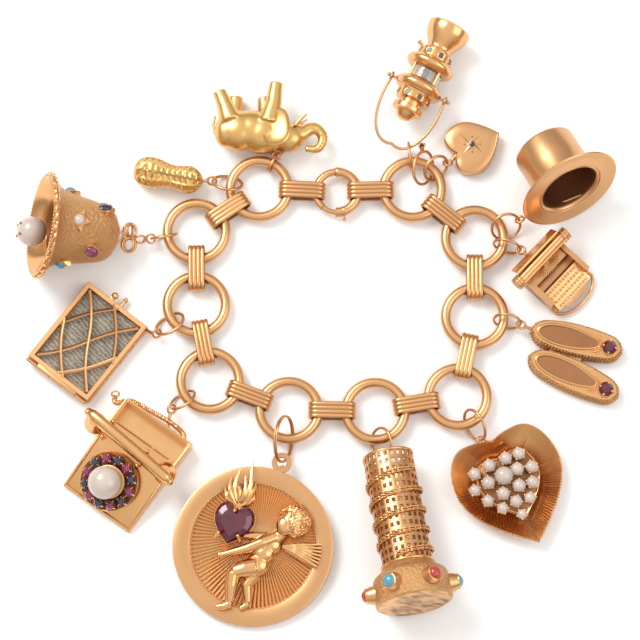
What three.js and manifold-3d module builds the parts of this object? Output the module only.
// A gold charm bracelet lying on a table: ten plain rings and a spring-ring clasp joined by eleven
// ribbed connectors, with thirteen charms and a tiny ring charm hung on jump rings.
// Units are millimetres, +Z is up, and the table is z = 0.

import * as THREE from 'three';
import { mergeVertices } from 'three/addons/utils/BufferGeometryUtils.js';
import Module from 'manifold-3d';

const wasm = await Module();
wasm.setup();

// ---------------------------------------------------------------- driving dimensions

const RING_RADIUS = 6.25; // middle of the tube
const RING_TUBE = 1.08;
const CLASP_RADIUS = 4.5;
const CLASP_TUBE = 1.05;
const CLASP_ARC = 0.8; // the thinner fixed arc
const BOLT_RADIUS = 0.6;
const CHANNEL_RADIUS = 0.78;
const CHAIN_Z = 2.3; // height of the ring centres over the table
const STRAP_LENGTH = 10.3; // over both ends
const STRAP_WIDTH = 3.5;
const STRAP_HEIGHT = 3.75;
const STRAP_WALL = 0.55;
const EYE_RADIUS = 0.95; // charm eyes, middle of the wire
const EYE_WIRE = 0.28;

// Places of the links round the bracelet, seen from above.
const LINKS = [
  { name: 'ring_1', x: -13.1, y: 28.5 },
  { name: 'clasp', x: 3.6, y: 27.8 },
  { name: 'ring_2', x: 20.0, y: 28.4 },
  { name: 'ring_3', x: 33.3, y: 17.5 },
  { name: 'ring_4', x: 33.2, y: 0.2 },
  { name: 'ring_5', x: 29.4, y: -17.4 },
  { name: 'ring_6', x: 11.8, y: -20.5 },
  { name: 'ring_7', x: -6.6, y: -20.3 },
  { name: 'ring_8', x: -23.5, y: -13.9 },
  { name: 'ring_9', x: -26.5, y: 2.8 },
  { name: 'ring_10', x: -26.6, y: 19.0 },
];

// Jump rings: the link each one holds, the bearing and reach of its middle from that link's middle,
// its height, the turn about its outward line (90 stands it upright), radius and wire.
const JUMPS = [
  { charm: 'elephant', link: 'ring_1', bearing: 63, reach: 6.3, z: 2.45, roll: 90, radius: 2.0, wire: 0.3 },
  { charm: 'peanut', link: 'ring_1', bearing: 170, reach: 7.0, z: 2.9, roll: 50, radius: 3.2, wire: 0.34 },
  { charm: 'bell', link: 'ring_10', bearing: -170, reach: 7.05, z: 3.1, roll: 75, radius: 2.8, wire: 0.3 },
  { charm: 'box', link: 'ring_9', bearing: -143, reach: 7.15, z: 2.85, roll: 48, radius: 3.3, wire: 0.34 },
  { charm: 'phone', link: 'ring_8', bearing: -144, reach: 7.2, z: 2.8, roll: 55, radius: 3.0, wire: 0.3 },
  { charm: 'medallion', link: 'ring_7', bearing: -99, reach: 6.9, z: 5.05, roll: 110, radius: 4.9, wire: 0.34 },
  { charm: 'tower', link: 'ring_6', bearing: -80, reach: 7.0, z: 2.8, roll: 50, radius: 3.1, wire: 0.3 },
  { charm: 'heart', link: 'ring_5', bearing: -61, reach: 7.3, z: 3.5, roll: 65, radius: 3.5, wire: 0.32 },
  { charm: 'slippers', link: 'ring_4', bearing: -10, reach: 7.0, z: 3.1, roll: 72, radius: 2.9, wire: 0.3 },
  { charm: 'typewriter', link: 'ring_3', bearing: -16, reach: 7.2, z: 3.2, roll: 78, radius: 2.95, wire: 0.3 },
  { charm: 'hat', link: 'ring_3', bearing: 20, reach: 7.2, z: 2.8, roll: 48, radius: 3.2, wire: 0.3 },
  { charm: 'padlock', link: 'ring_2', bearing: 42, reach: 6.8, z: 2.9, roll: 55, radius: 2.95, wire: 0.34 },
  { charm: 'lantern', link: 'ring_2', bearing: 95, reach: 7.2, z: 3.28, roll: 88, radius: 2.95, wire: 0.3 },
];

// Places of the charms: origin, heading of the charm's own X in plan, its rise over the table (pitch)
// and its turn about itself (roll).
const CHARMS = {
  elephant: { x: -14.6, y: 41.0, z: 4.4, heading: -4, pitch: 0, roll: 180 },
  peanut: { x: -31.5, y: 30.9, z: 3.5, heading: -11, pitch: 0, roll: 0 },
  bell: { x: -59.2, y: 18.3, z: 10.92, heading: 176, pitch: 18.5, roll: 0 },
  box: { x: -49.7, y: -5.3, z: 0, heading: -38, pitch: 0, roll: 0 },
  phone: { x: -40.9, y: -32.2, z: 0, heading: 54, pitch: 0, roll: 0 },
  medallion: { x: -14.2, y: -49.7, z: 1.36, heading: 0, pitch: 0, roll: 4.5 },
  tower: { x: 19.9, y: -63.2, z: 10.3, heading: -80.3, pitch: 8.5, roll: 0 },
  heart: { x: 36.6, y: -27.4, z: 0.2, heading: -65.8, pitch: 0, roll: 0 },
  slipper_a: { x: 45.3, y: -2.7, z: 0, heading: -14, pitch: 0, roll: 0 },
  slipper_b: { x: 44.8, y: -8.6, z: 0, heading: -24.5, pitch: 0, roll: 0 },
  typewriter: { x: 50.5, y: 9.2, z: 0, heading: 47, pitch: 0, roll: 0 },
  hat: { x: 53.4, y: 26.4, z: 10.85, heading: -62.5, pitch: 19.5, roll: 0 },
  padlock: { x: 33.4, y: 38.3, z: 0.6, heading: 26, pitch: 0, roll: 0 },
  lantern: { x: 21.3, y: 50.1, z: 5.7, heading: 63, pitch: 0, roll: 0 },
  solitaire: { x: 22.3, y: 32.9, z: 0, heading: 0, pitch: 0, roll: 0 },
};

// ---------------------------------------------------------------- finishes

const finish = (color, roughness, metalness) => () =>
  new THREE.MeshStandardMaterial({ color, roughness, metalness });
const roseGold = finish(0xd3a064, 0.35, 1);
const brightGold = finish(0xe0aa5c, 0.15, 1);
const yellowGold = finish(0xd9a23c, 0.2, 1);
const sandGold = finish(0xb98246, 0.6, 1);
const pearl = finish(0xe6d8cf, 0.25, 0);
const redStone = finish(0x4a0f26, 0.05, 0);
const clearGlass = finish(0xd8dcdc, 0.05, 0);
const paper = finish(0x9b9184, 0.8, 0);

// ---------------------------------------------------------------- helpers

const degrees = THREE.MathUtils.degToRad;
const point = (x, y, z = 0) => new THREE.Vector3(x, y, z);

// A closed three.js geometry as a manifold solid, and back.
function solid(geometry) {
  const bare = geometry.clone();
  bare.deleteAttribute('normal');
  bare.deleteAttribute('uv');
  const merged = mergeVertices(bare, 1e-5);
  return new wasm.Manifold(new wasm.Mesh({
    numProp: 3,
    vertProperties: new Float32Array(merged.attributes.position.array),
    triVerts: new Uint32Array(merged.index.array),
  }));
}

function shell(manifold) {
  const mesh = manifold.getMesh();
  const geometry = new THREE.BufferGeometry();
  geometry.setAttribute('position', new THREE.BufferAttribute(new Float32Array(mesh.vertProperties), 3));
  geometry.setIndex(new THREE.BufferAttribute(new Uint32Array(mesh.triVerts), 1));
  geometry.computeVertexNormals();
  return geometry;
}

const join = (...geometries) => shell(geometries.map(solid).reduce((whole, next) => whole.add(next)));
const cut = (geometry, ...tools) => shell(tools.map(solid).reduce((left, tool) => left.subtract(tool), solid(geometry)));

function frameMatrix({ x = 0, y = 0, z = 0, heading = 0, pitch = 0, roll = 0 }) {
  const turn = new THREE.Euler(degrees(roll), degrees(-pitch), degrees(heading), 'ZYX');
  return new THREE.Matrix4().makeRotationFromEuler(turn).setPosition(x, y, z);
}

const moved = (geometry, place) => geometry.clone().applyMatrix4(frameMatrix(place));

function box(lengthX, lengthY, lengthZ, place = {}) {
  return moved(new THREE.BoxGeometry(lengthX, lengthY, lengthZ), place);
}

// A ball or egg.
function ball(centre, radiusX, radiusY = radiusX, radiusZ = radiusX, around = 8, along = 5) {
  const geometry = new THREE.SphereGeometry(1, around, along);
  return geometry.scale(radiusX, radiusY, radiusZ).translate(centre.x, centre.y, centre.z);
}

// A round bar between two points, with a radius at each end.
function bar(from, to, startRadius, endRadius = startRadius, sides = 8) {
  const line = to.clone().sub(from);
  const geometry = new THREE.CylinderGeometry(endRadius, startRadius, line.length(), sides);
  const turn = new THREE.Quaternion().setFromUnitVectors(point(0, 1, 0), line.clone().normalize());
  const middle = from.clone().add(to).multiplyScalar(0.5);
  return geometry.applyQuaternion(turn).translate(middle.x, middle.y, middle.z);
}

// A wire ring about a centre, with its hole along the normal.
function hoop(centre, normal, radius, wire, around = 12, sides = 5) {
  const turn = new THREE.Quaternion().setFromUnitVectors(point(0, 0, 1), normal.clone().normalize());
  return new THREE.TorusGeometry(radius, wire, sides, around).applyQuaternion(turn)
    .translate(centre.x, centre.y, centre.z);
}

// A turned shape about the X axis from rows of [station along X, radius].
function turned(rows, around = 20) {
  const profile = rows.map(([station, radius]) => new THREE.Vector2(radius, station));
  return new THREE.LatheGeometry(profile, around).rotateZ(-Math.PI / 2);
}

// A round wire along a curve.
function wireAlong(curve, radius, steps, sides = 8) {
  const section = new THREE.Shape().absarc(0, 0, radius, 0, 2 * Math.PI);
  return new THREE.ExtrudeGeometry(section, { steps, extrudePath: curve, curveSegments: sides / 2 });
}

class ArcCurve extends THREE.Curve {
  constructor(radius, start, end) {
    super();
    Object.assign(this, { radius, start, end });
  }

  getPoint(t, target = new THREE.Vector3()) {
    const angle = degrees(this.start + (this.end - this.start) * t);
    return target.set(this.radius * Math.cos(angle), this.radius * Math.sin(angle), 0);
  }
}

// A heart seen from above: its back lobes at x = 0, its point at x = length.
function heartShape(length, width, notch) {
  const side = width / 2;
  const shape = new THREE.Shape();
  shape.moveTo(notch, 0);
  shape.bezierCurveTo(notch * 0.3, -0.06 * width, 0, -0.15 * width, 0, -0.26 * width);
  shape.bezierCurveTo(0, -0.8 * side, 0.17 * length, -side, 0.36 * length, -side);
  shape.bezierCurveTo(0.62 * length, -side, 0.85 * length, -0.4 * side, length, 0);
  shape.bezierCurveTo(0.85 * length, 0.4 * side, 0.62 * length, side, 0.36 * length, side);
  shape.bezierCurveTo(0.17 * length, side, 0, 0.8 * side, 0, 0.26 * width);
  shape.bezierCurveTo(0, 0.15 * width, notch * 0.3, 0.06 * width, notch, 0);
  return shape;
}

function plate(shape, thickness, z = 0, curveSegments = 5) {
  return new THREE.ExtrudeGeometry(shape, { depth: thickness, bevelEnabled: false, curveSegments })
    .translate(0, 0, z);
}

function roundedBar(length, height, width) {
  const shape = new THREE.Shape();
  const reach = length / 2 - height / 2;
  shape.moveTo(-reach, -height / 2);
  shape.lineTo(reach, -height / 2);
  shape.absarc(reach, 0, height / 2, -Math.PI / 2, Math.PI / 2);
  shape.lineTo(-reach, height / 2);
  shape.absarc(-reach, 0, height / 2, Math.PI / 2, 1.5 * Math.PI);
  return new THREE.ExtrudeGeometry(shape, { depth: width, bevelEnabled: false, curveSegments: 4 })
    .translate(0, 0, -width / 2).rotateX(Math.PI / 2);
}

const group = new THREE.Group();

function add(parent, name, geometry, makeMaterial) {
  const mesh = new THREE.Mesh(geometry, makeMaterial());
  mesh.name = name;
  parent.add(mesh);
  return mesh;
}

// A group placed by a row of CHARMS or JUMPS.
function placed(place) {
  const holder = new THREE.Group();
  holder.position.set(place.x, place.y, place.z);
  holder.rotation.set(degrees(place.roll), degrees(-place.pitch), degrees(place.heading), 'ZYX');
  group.add(holder);
  holder.updateMatrixWorld();
  return holder;
}

const linkNamed = (name) => LINKS.find((link) => link.name === name);
const jumpOf = (charm) => JUMPS.find((jump) => jump.charm === charm);

function jumpPlace(jump) {
  const link = linkNamed(jump.link);
  const bearing = degrees(jump.bearing);
  return {
    x: link.x + jump.reach * Math.cos(bearing),
    y: link.y + jump.reach * Math.sin(bearing),
    z: jump.z,
    heading: jump.bearing,
    pitch: 0,
    roll: jump.roll,
  };
}

// The eye by which a charm hangs: a small ring threaded on its jump ring at an angle round it,
// with a stem to the charm. Both are given in the charm's own frame.
function eye(holder, charm, angle, anchor, stemRadius = 0.4) {
  const jump = jumpOf(charm);
  const matrix = frameMatrix(jumpPlace(jump));
  const turn = degrees(angle);
  const outward = point(Math.cos(turn), Math.sin(turn)).transformDirection(matrix);
  const tangent = point(-Math.sin(turn), Math.cos(turn)).transformDirection(matrix);
  const wire = point(jump.radius * Math.cos(turn), jump.radius * Math.sin(turn)).applyMatrix4(matrix);
  const inverse = holder.matrixWorld.clone().invert();
  const centre = wire.clone().addScaledVector(outward, 0.15).applyMatrix4(inverse);
  const normal = tangent.clone().transformDirection(inverse);
  const towards = anchor.clone().sub(centre);
  const across = towards.clone().addScaledVector(normal, -towards.dot(normal)).normalize();
  const stemStart = centre.clone().addScaledVector(across, EYE_RADIUS);
  return [hoop(centre, normal, EYE_RADIUS, EYE_WIRE, 9, 4), bar(stemStart, anchor, stemRadius, stemRadius, 5)];
}

// ---------------------------------------------------------------- the chain

for (const link of LINKS.filter((each) => each.name !== 'clasp')) {
  const ring = add(group, link.name, new THREE.TorusGeometry(RING_RADIUS, RING_TUBE, 6, 20), roseGold);
  ring.position.set(link.x, link.y, CHAIN_Z);
}

LINKS.forEach((link, index) => {
  const next = LINKS[(index + 1) % LINKS.length];
  const heading = Math.atan2(next.y - link.y, next.x - link.x);
  const reachOut = (each) => (each.name === 'clasp' ? CLASP_RADIUS : RING_RADIUS);
  const distance = Math.hypot(next.x - link.x, next.y - link.y);
  const middle = (reachOut(link) + distance - reachOut(next)) / 2;
  const outer = roundedBar(STRAP_LENGTH, STRAP_HEIGHT, STRAP_WIDTH);
  const inner = roundedBar(STRAP_LENGTH - 2 * STRAP_WALL, STRAP_HEIGHT - 2 * STRAP_WALL, STRAP_WIDTH + 1);
  const strap = add(group, `connector_${index + 1}`, cut(outer, inner), roseGold);
  strap.position.set(link.x + middle * Math.cos(heading), link.y + middle * Math.sin(heading), CHAIN_Z);
  strap.rotation.z = heading;
});

// Spring-ring clasp: a hollow tube over the right half, a thinner fixed arc over the left, and a
// sprung bolt that closes the gap at the lower left. Its trigger slides in a slot of the tube.
const TUBE_START = -93;
const TUBE_END = 88;
const ARC_END = 228;
const BOLT_START = 229.5;
const BOLT_END = 290;
const TRIGGER = 285;
const BOLT_TRAVEL = 36;

function makeClasp() {
  const holder = new THREE.Group();
  const link = linkNamed('clasp');
  holder.position.set(link.x, link.y, CHAIN_Z);
  group.add(holder);
  const tube = wireAlong(new ArcCurve(CLASP_RADIUS, TUBE_START, TUBE_END), CLASP_TUBE, 12, 8);
  const arc = wireAlong(new ArcCurve(CLASP_RADIUS, TUBE_END - 3, ARC_END), CLASP_ARC, 9, 8);
  const channelEnd = BOLT_END + BOLT_TRAVEL + 5 - 360;
  const channel = wireAlong(new ArcCurve(CLASP_RADIUS, TUBE_START - 4, channelEnd), CHANNEL_RADIUS, 6, 8);
  const slotMiddle = TRIGGER + BOLT_TRAVEL / 2;
  const slotSpan = BOLT_TRAVEL + 12;
  const slotParts = [-0.375, -0.125, 0.125, 0.375].map((share) => {
    const angle = degrees(slotMiddle + share * slotSpan);
    return box(1.1, 1.3, 0.9, {
      x: (CLASP_RADIUS + 0.95) * Math.cos(angle),
      y: (CLASP_RADIUS + 0.95) * Math.sin(angle),
      heading: THREE.MathUtils.radToDeg(angle),
    });
  });
  add(holder, 'clasp_ring', cut(join(tube, arc), channel, ...slotParts), roseGold);
  const bolt = wireAlong(new ArcCurve(CLASP_RADIUS, BOLT_START, BOLT_END), BOLT_RADIUS, 8, 8);
  const triggerAngle = degrees(TRIGGER);
  const outward = point(Math.cos(triggerAngle), Math.sin(triggerAngle));
  const stem = bar(outward.clone().multiplyScalar(CLASP_RADIUS), outward.clone().multiplyScalar(6.2), 0.25, 0.25, 6);
  const knob = ball(outward.clone().multiplyScalar(6.3), 0.38, 0.38, 0.38, 8, 5);
  add(holder, 'clasp_bolt', join(bolt, stem, knob), roseGold);
}

makeClasp();

for (const jump of JUMPS) {
  const holder = placed(jumpPlace(jump));
  const split = jump.charm === 'medallion'; // a split ring of two turns, wider across
  const ring = new THREE.TorusGeometry(jump.radius, jump.wire, 5, split ? 18 : 12).scale(1, 1, split ? 1.4 : 1);
  add(holder, `jump_${jump.charm}`, ring, roseGold);
}

// ---------------------------------------------------------------- the charms

// Lantern: turned cap, holed collars, two swelling bands with a glass between four posts, and a
// bowl-shaped foot. It swings in its wire bail. X runs from the cap to the foot, and the origin is
// on the swing axis.
function makeLantern() {
  const holder = placed(CHARMS.lantern);
  const capBand = turned([
    [-7.8, 0], [-7.4, 1.6], [-6.2, 2.4], [-5.8, 3.4], [-4.7, 3.4], [-4.3, 2.6], [-3.3, 2.6], [-3.1, 3.7],
    [-1.6, 3.9], [-1.2, 4.7], [-0.4, 5.4], [0.5, 5.4], [1.2, 4.7], [1.5, 4.1], [1.5, 0],
  ], 12);
  const footBand = turned([
    [4.2, 0], [4.2, 4.1], [4.5, 4.7], [5.2, 5.4], [6.0, 5.4], [6.8, 4.6], [7.1, 4.0], [8.6, 3.8], [9.5, 2.7],
    [10.3, 2.9], [11.4, 3.7], [13.2, 4.6], [14.6, 4.9], [15.4, 4.5], [15.7, 3.8], [15.7, 0],
  ], 12);
  const posts = [45, 135, 225, 315].map((turn) => {
    const y = 4.0 * Math.cos(degrees(turn));
    const z = 4.0 * Math.sin(degrees(turn));
    return bar(point(1.2, y, z), point(4.5, y, z), 0.35, 0.35, 6);
  });
  const burner = bar(point(1.0, 0, 0), point(4.6, 0, 0), 1.2, 1.2, 8);
  const pins = [1, -1].map((side) => bar(point(0, 5.0 * side, 0), point(0, 7.2 * side, 0), 0.35, 0.35, 6));
  const lever = bar(point(8.8, 3.2, 0), point(9.6, 4.6, 0), 0.35, 0.5, 6);
  add(holder, 'lantern_body', join(capBand, footBand, ...posts, burner, ...pins, lever), brightGold);
  const glass = turned([[1.7, 1.6], [1.7, 3.4], [4.0, 3.4], [4.0, 1.6], [1.7, 1.6]], 14);
  add(holder, 'lantern_glass', glass, clearGlass);
  const spread = 6.4;
  const depth = 12.9;
  const drop = 2.9;
  const route = [];
  for (let step = 0; step <= 10; step += 1) {
    const turn = degrees(-90 + 18 * step);
    const bulge = 1 + 0.12 * Math.sin(2 * Math.abs(turn));
    const back = Math.cos(turn) * bulge;
    route.push(point(-0.7 - (depth - 0.7) * back, spread * Math.sin(turn) * bulge, -drop * back));
  }
  const bow = wireAlong(new THREE.CatmullRomCurve3(route), 0.33, 14, 6);
  const loops = [1, -1].map((side) => hoop(point(0, spread * side, 0), point(0, 1, 0), 0.8, 0.28, 8, 4));
  add(holder, 'lantern_bail', join(bow, ...loops), roseGold);
}

// Heart padlock: a flat bevelled heart with its eye in the notch.
function makePadlock() {
  const holder = placed(CHARMS.padlock);
  const thickness = 2.5;
  const body = new THREE.ExtrudeGeometry(heartShape(11.0, 11.2, 1.2), {
    depth: thickness - 0.7, bevelEnabled: true, bevelThickness: 0.35, bevelSize: 0.35, bevelSegments: 1, curveSegments: 5,
  }).translate(-5.2, 0, 0.35);
  add(holder, 'heart_padlock', join(body, ...eye(holder, 'padlock', -20, point(-3.6, 0, 1.2), 0.45)), roseGold);
}

// Tiny ring charm with a four-pronged head.
function makeSolitaire() {
  const holder = placed(CHARMS.solitaire);
  const centre = point(0, 0, 3.5);
  const normal = point(0.8, -0.25, 0.55).normalize();
  const upward = point(-0.15, 0.75, 0.35);
  upward.addScaledVector(normal, -upward.dot(normal)).normalize();
  const band = hoop(centre, normal, 3.6, 0.32, 18, 6);
  const rim = centre.clone().addScaledVector(upward, 3.6);
  const head = bar(rim, centre.clone().addScaledVector(upward, 5.6), 0.45, 1.0, 8);
  add(holder, 'solitaire_ring', join(band, head), roseGold);
}

// Top hat of sheet gold. X runs from the crown to the mouth, and the origin is the brim's middle.
function makeHat() {
  const holder = placed(CHARMS.hat);
  const body = turned([
    [-12.0, 0], [-12.0, 6.5], [-11.6, 6.9], [-0.5, 6.9], [-0.3, 11.0], [0.0, 11.25], [0.3, 11.0],
    [0.3, 6.9], [-0.2, 6.3], [-11.4, 6.3], [-11.4, 0],
  ], 18);
  add(holder, 'top_hat', join(body, ...eye(holder, 'hat', 10, point(0, 9.2, -6.0), 0.35)), roseGold);
}

// Typewriter: X runs along the roller, Y from the space bar to the paper plate.
function makeTypewriter() {
  const holder = placed(CHARMS.typewriter);
  const parts = [
    box(11.5, 10.4, 1.4, { y: -0.4, z: 0.7 }),
    box(1.2, 9.6, 4.4, { x: -5.4, y: 0.2, z: 3.1 }),
    box(1.2, 9.6, 4.4, { x: 5.4, y: 0.2, z: 3.1 }),
    box(11.5, 1.2, 4.6, { y: 4.9, z: 3.2 }),
    box(10.0, 4.6, 2.6, { y: -3.4, z: 2.4, roll: 14 }),
    box(10.5, 5.0, 2.2, { y: 2.2, z: 3.0 }),
    box(12.6, 2.8, 0.8, { y: 6.2, z: 7.0, roll: -55 }),
    box(9.0, 2.6, 1.0, { y: 5.4, z: 6.0 }),
    bar(point(-6.6, 4.2, 6.4), point(6.6, 4.2, 6.4), 1.25, 1.25, 12),
    bar(point(-7.9, 4.2, 6.4), point(-6.4, 4.2, 6.4), 1.5, 1.5, 10),
    bar(point(6.4, 4.2, 6.4), point(7.9, 4.2, 6.4), 1.5, 1.5, 10),
    box(1.2, 1.2, 3.0, { x: -5.4, y: 4.5, z: 5.6 }),
    box(1.2, 1.2, 3.0, { x: 5.4, y: 4.5, z: 5.6 }),
    box(6.4, 1.0, 0.6, { y: -6.4, z: 2.2 }),
    box(1.0, 2.0, 0.5, { y: -5.6, z: 2.0 }),
  ];
  const guard = new THREE.CatmullRomCurve3([
    point(-5.4, -4.0, 1.4), point(-5.6, -5.8, 1.2), point(-3.4, -7.6, 1.0), point(0, -8.2, 1.0),
    point(3.4, -7.6, 1.0), point(5.6, -5.8, 1.2), point(5.4, -4.0, 1.4),
  ]);
  parts.push(wireAlong(guard, 0.32, 14, 6));
  add(holder, 'typewriter', join(...parts, ...eye(holder, 'typewriter', 0, point(-1.0, 5.2, 3.6), 0.4)), roseGold);
}

// One slipper's outline, from its heel to its pointed toe, with a sole width that swells and tapers.
const OUTLINE_ROWS = 9;

function slipperOutline(length, width) {
  const rows = Array.from({ length: OUTLINE_ROWS }, (unused, row) => row / (OUTLINE_ROWS - 1));
  const halfWidth = (share) => (width / 2) * Math.sin(Math.PI * Math.min(0.93, 0.16 + 0.62 * share ** 0.85)) ** 0.9;
  const right = rows.map((share) => new THREE.Vector2(length * share, -halfWidth(share)));
  const left = rows.map((share) => new THREE.Vector2(length * share, halfWidth(share))).reverse();
  return new THREE.Shape([...right, ...left]);
}

const SLIPPERS = [
  { place: 'slipper_a', length: 19.8, width: 6.8 },
  { place: 'slipper_b', length: 20.6, width: 6.8 },
];
const SLIPPER_HEIGHT = 4.4;

function makeSlippers() {
  const holder = placed({ x: 0, y: 0, z: 0, heading: 0, pitch: 0, roll: 0 });
  let whole = null;
  for (const { place, length, width } of SLIPPERS) {
    const shoe = plate(slipperOutline(length, width), SLIPPER_HEIGHT);
    const hollow = moved(new THREE.CylinderGeometry(1, 1, SLIPPER_HEIGHT, 16), { roll: 90 })
      .scale(length * 0.33, width * 0.3, 1).translate(length * 0.42, 0, SLIPPER_HEIGHT / 2 + 0.8);
    const toeSlope = box(8, 12, 4, { x: length + 0.6, z: SLIPPER_HEIGHT + 1.2, pitch: -18 });
    const setting = bar(point(length * 0.86, 0, 2.4), point(length * 0.87, 0, 4.6), 1.2, 1.7, 10);
    const shaped = moved(join(cut(shoe, hollow, toeSlope), setting), CHARMS[place]);
    whole = whole ? join(whole, shaped) : shaped;
  }
  const bridge = box(7, 3.4, 1.6, { x: 52.5, y: -8.2, z: 1.6, heading: -19 });
  add(holder, 'slippers', join(whole, bridge, ...eye(holder, 'slippers', -8, point(46.2, -3.0, 2.4), 0.4)), brightGold);
}

// Heart of pearls: a dished heart with a raised gallery that carries the pearls. The origin is the
// heart's back and X runs to its point.
const HEART_LENGTH = 25.2;
const HEART_WIDTH = 23.8;
const HEART_BACK = -1.3;

function heartPrism(share, thickness, z) {
  const shape = heartShape(HEART_LENGTH * share, HEART_WIDTH * share, 1.3 * share);
  return plate(shape, thickness, z, 4).translate(HEART_BACK + HEART_LENGTH * 0.44 * (1 - share), 0, 0);
}

// A heart-shaped dish: the outline is blended from the foot to the rim in one skin.
function heartDish() {
  const rimPoints = heartShape(HEART_LENGTH, HEART_WIDTH, 1.3).getPoints(5);
  rimPoints.pop();
  const centre = new THREE.Vector2(HEART_LENGTH * 0.42, 0);
  const layers = [
    { share: 0.50, z: 0.0 }, { share: 0.78, z: 1.2 }, { share: 0.97, z: 3.2 }, { share: 1.0, z: 3.5 },
    { share: 0.96, z: 3.7 }, { share: 0.76, z: 1.8 }, { share: 0.50, z: 0.7 },
  ];
  const vertices = [];
  const triangles = [];
  const count = rimPoints.length;
  for (const { share, z } of layers) {
    for (const rim of rimPoints) {
      const spot = centre.clone().lerp(rim, share);
      vertices.push(spot.x + HEART_BACK, spot.y, z);
    }
  }
  for (let layer = 0; layer + 1 < layers.length; layer += 1) {
    for (let index = 0; index < count; index += 1) {
      const next = (index + 1) % count;
      const low = layer * count;
      const high = low + count;
      triangles.push(low + index, low + next, high + next, low + index, high + next, high + index);
    }
  }
  const bottomCentre = vertices.length / 3;
  vertices.push(centre.x + HEART_BACK, 0, layers[0].z);
  vertices.push(centre.x + HEART_BACK, 0, layers[layers.length - 1].z);
  const last = (layers.length - 1) * count;
  for (let index = 0; index < count; index += 1) {
    const next = (index + 1) % count;
    triangles.push(bottomCentre, next, index);
    triangles.push(bottomCentre + 1, last + index, last + next);
  }
  const geometry = new THREE.BufferGeometry();
  geometry.setAttribute('position', new THREE.BufferAttribute(new Float32Array(vertices), 3));
  geometry.setIndex(triangles);
  return geometry;
}

function makePearlHeart() {
  const holder = placed(CHARMS.heart);
  const gallery = heartPrism(0.54, 2.6, 0.5);
  add(holder, 'pearl_heart_dish', join(heartDish(), gallery, ...eye(holder, 'heart', -12, point(1.0, 2.2, 2.2), 0.4)), brightGold);
  add(holder, 'pearl_cluster', heartPrism(0.56, 2.6, 3.4), pearl);
}

// Tower: a pierced tube on a drum with six collets. X runs from the tube's top to the drum's foot,
// and the origin is the middle of the foot's flat face.
const TOWER_LENGTH = 33;
const WINDOW_X = -29.8; // the row of windows nearest the top, one on each side

function makeTower() {
  const holder = placed(CHARMS.tower);
  const body = turned([
    [-TOWER_LENGTH, 0], [-TOWER_LENGTH, 5.3], [-8.4, 5.6], [-7.2, 6.6], [-6.0, 7.8], [-0.4, 8.3], [0, 7.9], [0, 0],
  ], 14);
  const coils = [-26.9, -22.0, -17.1, -12.2].map((station) =>
    moved(turned([[-0.45, 5.3], [-0.45, 5.9], [0.45, 5.9], [0.45, 5.3], [-0.45, 5.3]], 12), { x: station, heading: 9 }));
  const cups = [0, 60, 120, 180, 240, 300].map((turn) => {
    const outward = point(0, Math.cos(degrees(turn)), Math.sin(degrees(turn)));
    const foot = point(-3.2, 0, 0).addScaledVector(outward, 7.0);
    return bar(foot, foot.clone().addScaledVector(outward, 3.1), 1.7, 1.5, 7);
  });
  const hollow = bar(point(-TOWER_LENGTH + 0.6, 0, 0), point(-7.6, 0, 0), 4.7, 4.7, 10);
  const windows = [box(2.4, 14, 2.4, { x: WINDOW_X }), box(2.4, 2.4, 14, { x: WINDOW_X })];
  add(holder, 'tower', join(cut(body, hollow, ...windows), ...coils, ...cups, ...eye(holder, 'tower', 18, point(-TOWER_LENGTH + 0.3, 0, 2.4), 0.4)), sandGold);
}

// Medallion: a flat-rimmed disc with a sunk field, a cherub in relief and a heart-shaped stone.
const DISC_RADIUS = 17;
const FIELD_RADIUS = 13.4;

function makeMedallion() {
  const holder = placed(CHARMS.medallion);
  const disc = new THREE.LatheGeometry([
    [0, 0], [DISC_RADIUS - 0.3, 0], [DISC_RADIUS, 0.3], [DISC_RADIUS, 1.5], [DISC_RADIUS - 0.3, 1.8],
    [FIELD_RADIUS, 1.8], [FIELD_RADIUS - 0.3, 1.1], [0, 1.1],
  ].map(([radius, height]) => new THREE.Vector2(radius, height)), 24).rotateX(Math.PI / 2);
  const figure = [
    ball(point(8.7, 4.5, 3.6), 3.6, 3.6, 3.0, 10, 6),
    ball(point(5.0, 1.0, 2.8), 2.6, 1.9, 1.7),
    ball(point(0.6, -3.6, 2.9), 3.2, 2.4, 1.9),
    bar(point(4.0, 2.2, 3.2), point(-4.6, -1.6, 3.4), 0.9, 0.6, 6),
    bar(point(1.0, -4.2, 3.0), point(-3.9, -5.9, 3.2), 1.5, 1.1, 8),
    bar(point(-3.9, -5.9, 3.2), point(-5.6, -12.0, 2.6), 1.1, 0.7, 7),
    ball(point(-6.2, -12.2, 2.4), 1.9, 0.8, 0.9, 8, 4),
    bar(point(0.0, -5.0, 2.4), point(-1.2, -12.6, 2.2), 1.0, 0.6, 6),
    ball(point(-1.6, -13.2, 2.2), 1.5, 0.6, 0.7, 8, 5),
    moved(ball(point(0, 0, 0), 4.4, 1.7, 1.3), { x: 10.6, y: -0.8, z: 2.3, heading: -12 }),
    moved(new THREE.ConeGeometry(1.9, 8.4, 7), { x: -2.0, y: 13.5, z: 2.2, heading: -8 }),
    bar(point(-4.6, 4.4, 0.9), point(-4.6, 4.4, 3.0), 2.6, 2.6, 10),
  ];
  const tab = cut(
    plate(new THREE.Shape().absarc(6.1, 17.5, 2.1, 0, 2 * Math.PI), 1.0, 0.8, 6),
    bar(point(6.1, 17.8, 0), point(6.1, 17.8, 3), 1.1, 1.1, 10),
  );
  add(holder, 'medallion', join(disc, tab, ...figure), roseGold);
  const stone = plate(heartShape(8.6, 8.6, 1.0), 2.4, 3.4, 4)
    .translate(-4.3, 0, 0).rotateZ(degrees(-107)).translate(-4.2, 4.4, 0);
  add(holder, 'medallion_heart_stone', stone, redStone);
}

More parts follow.
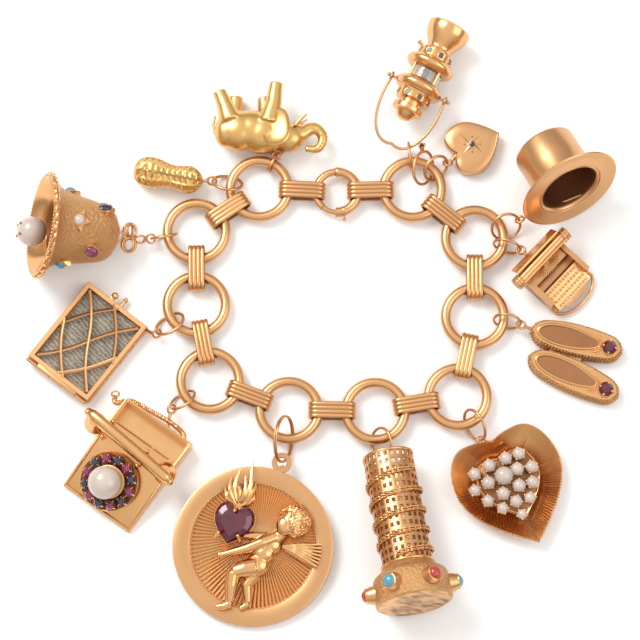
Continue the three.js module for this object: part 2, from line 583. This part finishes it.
// Telephone: X runs from the front edge to the tray at the back, Y along the handset.
const PHONE_DEPTH = 22.8;
const PHONE_WIDTH = 17.4;

function makeTelephone() {
  const holder = placed(CHARMS.phone);
  const back = PHONE_DEPTH / 2;
  const side = PHONE_WIDTH / 2;
  const front = new THREE.Shape([
    new THREE.Vector2(-back, 0), new THREE.Vector2(back, 0), new THREE.Vector2(back, 4.6),
    new THREE.Vector2(1.5, 4.6), new THREE.Vector2(-back, 1.0),
  ]);
  const wedge = plate(front, PHONE_WIDTH, -side).rotateX(Math.PI / 2);
  const tray = box(4.6, PHONE_WIDTH - 1.6, 5, { x: back - 3.1, z: 3.4 });
    const pegs = [[0.5, -2.3], [4.2, -2.3], [1.2, 7.4], [5.1, 7.4]].map(([x, y]) =>
    bar(point(x, y, 3.6), point(x, y, 7.0), 0.4, 0.4, 6));
  const cordRoute = new THREE.CatmullRomCurve3([
    point(back + 0.1, -6.0, 3.4), point(back + 1.2, -5.4, 3.6), point(back + 1.4, -2.0, 3.6),
    point(back + 1.0, 2.5, 3.2), point(back + 0.2, 7.0, 3.4), point(back - 2.6, 10.2, 5.2),
  ]);
  const cord = wireAlong(cordRoute, 0.62, 16, 6);
  const parts = [cut(wedge, tray), ...pegs, cord];
  add(holder, 'telephone_base', join(...parts, ...eye(holder, 'phone', 12, point(back - 0.3, -2.2, 2.6), 0.4)), brightGold);

  const tilt = 16;
  const dialHolder = new THREE.Group();
  dialHolder.position.set(-5.2, 0.8, 3.15);
  dialHolder.rotation.set(0, degrees(-tilt), 0);
  holder.add(dialHolder);
  const dial = new THREE.LatheGeometry([
    [0, 0.35], [6.3, 0.35], [6.35, 0.8], [6.1, 1.1], [5.9, 2.2], [3.9, 2.2], [3.4, 1.5], [0, 1.5],
  ].map(([radius, height]) => new THREE.Vector2(radius, height)), 24).rotateX(Math.PI / 2);
  add(dialHolder, 'telephone_dial', dial, roseGold);
  add(dialHolder, 'telephone_pearl', ball(point(0, 0, 5.35), 3.6, 3.6, 3.6, 14, 9), pearl);

  const handleAt = (y, z) => point(2.66 + (y - 1.4) * 0.088, y, z);
  const handle = new THREE.CatmullRomCurve3([
    handleAt(-9.9, 7.4), handleAt(-4.0, 7.9), handleAt(1.4, 8.0), handleAt(7.0, 7.9), handleAt(12.7, 7.4),
  ]);
  const cups = [10.4, -8.0].map((y) => bar(point(2.8, y, 7.8), point(2.8, y, 5.0), 1.5, 2.2, 10));
  add(holder, 'telephone_handset', join(wireAlong(handle, 1.15, 6, 8), ...cups), brightGold);
}

// Money box: a shallow case, a lid of crossing straps hinged on the short edge, and a folded paper.
// The origin is under the case, Y runs from the hinge to the latch.
const BOX_WIDTH = 16.2;
const BOX_LENGTH = 20.6;
const CASE_HEIGHT = 2.3;
const LID_Z = 2.5;
const LID_THICKNESS = 0.6;
const HINGE_Y = -(BOX_LENGTH / 2 + 0.62);
const HINGE_Z = 2.45;

function makeMoneyBox() {
  const holder = placed(CHARMS.box);
  const outer = box(BOX_WIDTH, BOX_LENGTH, CASE_HEIGHT, { z: CASE_HEIGHT / 2 });
  const inner = box(BOX_WIDTH - 1.4, BOX_LENGTH - 1.4, CASE_HEIGHT, { z: CASE_HEIGHT / 2 + 0.6 });
  const knuckle = (from, to) => bar(point(from, HINGE_Y, HINGE_Z), point(to, HINGE_Y, HINGE_Z), 0.42, 0.42, 8);
  const hingeSeat = [-1, 1].map((end) => box(2.4, 0.8, 0.7, { x: 6.6 * end, y: HINGE_Y + 0.4, z: 1.85 }));
  const latchEdge = BOX_LENGTH / 2;
  const latch = [bar(point(0.6, latchEdge - 0.3, 1.5), point(0.6, latchEdge + 1.9, 1.5), 0.45, 0.45, 6)];
  const caseParts = [cut(outer, inner), knuckle(5.4, 7.8), knuckle(-7.8, -5.4), ...hingeSeat, ...latch];
  const corner = point(BOX_WIDTH / 2 - 0.3, latchEdge - 0.4, 1.4);
  add(holder, 'box_case', join(...caseParts, ...eye(holder, 'box', 2, corner, 0.4)), roseGold);

  const frame = cut(
    box(BOX_WIDTH, BOX_LENGTH, LID_THICKNESS, { z: LID_Z + LID_THICKNESS / 2 }),
    box(BOX_WIDTH - 2, BOX_LENGTH - 2, 2, { z: LID_Z }),
  );
  const straps = [
    { x: 0, y: 0, heading: 52, length: 23 }, { x: 0, y: 0, heading: -52, length: 23 },
    { x: 3.7, y: 4.6, heading: 115, length: 11 }, { x: -3.7, y: 4.6, heading: 65, length: 11 },
    { x: 3.7, y: -4.6, heading: 65, length: 11 }, { x: -3.7, y: -4.6, heading: 115, length: 11 },
  ].map(({ x, y, heading, length }) => box(length, 0.9, LID_THICKNESS, { x, y, z: LID_Z + LID_THICKNESS / 2, heading }));
  const clipped = shell(straps.map(solid).reduce((whole, next) => whole.add(next))
    .intersect(solid(box(BOX_WIDTH - 0.5, BOX_LENGTH - 0.5, 3, { z: LID_Z }))));
  const lidHinge = [knuckle(-5.1, 5.1), box(10.2, 0.9, 0.5, { y: HINGE_Y + 0.45, z: LID_Z + 0.28 })];
  const catchKnob = [
    box(1.0, 1.0, 0.6, { x: -1.6, y: latchEdge + 0.3, z: LID_Z + 0.3 }),
    ball(point(-1.6, latchEdge + 1.1, LID_Z + 0.3), 0.8, 0.8, 0.8, 8, 6),
  ];
  add(holder, 'box_lid', join(frame, clipped, ...lidHinge, ...catchKnob), roseGold);
  add(holder, 'box_paper', box(BOX_WIDTH - 2.2, BOX_LENGTH - 2.2, 1.1, { z: 1.5 }), paper);
}

// Bell with a pearl clapper. X runs from the crown to the mouth, and the origin is the mouth's middle.
function makeBell() {
  const holder = placed(CHARMS.bell);
  const body = turned([
    [-16.2, 0], [-15.8, 3.6], [-14.4, 5.6], [-12.0, 6.5], [-7.0, 7.4], [-3.4, 8.3], [-1.4, 10.0], [-0.9, 11.2],
    [0.0, 11.5], [0.8, 10.9], [0.3, 10.2], [-2.0, 8.1], [-3.6, 7.5], [-12.0, 5.7], [-14.0, 4.6], [-15.0, 0],
  ], 16);
  const crown = [
    hoop(point(-17.0, 0, 0), point(0, 0, 1), 1.0, 0.3, 8, 4),
    hoop(point(-19.3, 1.6, 0), point(0.2, 0, 1), 1.45, 0.3, 8, 4),
    hoop(point(-19.3, -1.6, 0), point(-0.2, 0, 1), 1.45, 0.3, 8, 4),
    hoop(point(-21.7, 0, 0), point(0, 0, 1), 1.1, 0.28, 8, 4),
    bar(point(-17.9, 0, 0), point(-20.8, 0, 0), 0.35, 0.35, 6),
  ];
  add(holder, 'bell', join(body, ...crown, ...eye(holder, 'bell', -8, point(-22.6, 0, 0), 0.3)), sandGold);
  const wire = bar(point(-11.5, 0, -2.0), point(0, 0.9, -3.3), 0.4, 0.4, 6);
  add(holder, 'bell_clapper', join(ball(point(1.5, 0.9, -3.3), 3.25, 3.25, 3.25, 14, 9), wire), pearl);
}

// Peanut: two round lobes with a waist. X runs towards its tip.
function makePeanut() {
  const holder = placed(CHARMS.peanut);
  const shellForm = turned([
    [-8.9, 0], [-8.4, 1.6], [-7.2, 2.8], [-5.6, 3.4], [-3.8, 3.3], [-1.8, 2.7], [-0.2, 2.5], [1.6, 2.8],
    [3.2, 3.0], [4.6, 2.5], [5.8, 1.3], [6.4, 0],
  ], 14);
  add(holder, 'peanut', join(shellForm, ...eye(holder, 'peanut', 4, point(5.6, 0, 0), 0.35)), yellowGold);
}

// Elephant lying on its side. X runs to its head, Y to its back.
function makeElephant() {
  const holder = placed(CHARMS.elephant);
  const legs = [
    { hip: [-4.4, -1.0, -2.2], foot: [-7.6, -7.6, -2.4], top: 2.0, end: 1.4 },
    { hip: [-3.6, -1.0, 2.2], foot: [-4.2, -7.8, 2.4], top: 2.0, end: 1.5 },
    { hip: [3.6, -1.5, -2.2], foot: [4.4, -10.4, -2.2], top: 2.1, end: 1.4 },
    { hip: [3.4, -1.5, 2.2], foot: [1.9, -8.2, 2.6], top: 1.8, end: 1.3 },
  ].map(({ hip, foot, top, end }) => bar(point(...hip), point(...foot), top, end, 7));
  const trunk = new THREE.CatmullRomCurve3([
    point(10.2, 0.4, 0), point(13.4, -1.6, 0), point(15.6, 0.6, 0), point(14.4, 3.2, 0), point(11.2, 3.2, 0),
  ]);
  const parts = [
    ball(point(-2.6, 0.2, 0), 5.4, 4.6, 4.0, 9, 6),
    ball(point(2.6, 0.4, 0), 5.2, 4.8, 4.1, 9, 6),
    ball(point(8.6, 0.6, 0), 3.6, 3.0, 2.8, 8, 6),
    moved(ball(point(0, 0, 0), 3.1, 4.1, 0.7, 8, 5), { x: 5.0, y: 0.6, z: -3.4, pitch: -8 }),
    moved(ball(point(0, 0, 0), 3.1, 4.1, 0.7, 8, 5), { x: 5.0, y: 0.6, z: 3.4, pitch: 8 }),
    wireAlong(trunk, 1.0, 9, 6),
    bar(point(9.4, -1.6, -1.8), point(10.6, -4.4, -2.2), 0.6, 0.2, 6),
    bar(point(9.4, -1.6, 1.8), point(11.8, -3.6, 2.4), 0.6, 0.4, 6),
  ];
  add(holder, 'elephant', join(...parts, ...legs, ...eye(holder, 'elephant', 5, point(5.0, 3.6, 0), 0.45)), yellowGold);
}

makeLantern();
makePadlock();
makeSolitaire();
makeHat();
makeTypewriter();
makeSlippers();
makePearlHeart();
makeTower();
makeMedallion();
makeTelephone();
makeMoneyBox();
makeBell();
makePeanut();
makeElephant();

// The origin is the middle of the whole bracelet's box, at table height.
group.updateMatrixWorld(true);
const bounds = new THREE.Box3().setFromObject(group, true);
group.position.set(-(bounds.min.x + bounds.max.x) / 2, -(bounds.min.y + bounds.max.y) / 2, -bounds.min.z);
group.updateMatrixWorld(true);

export default group;
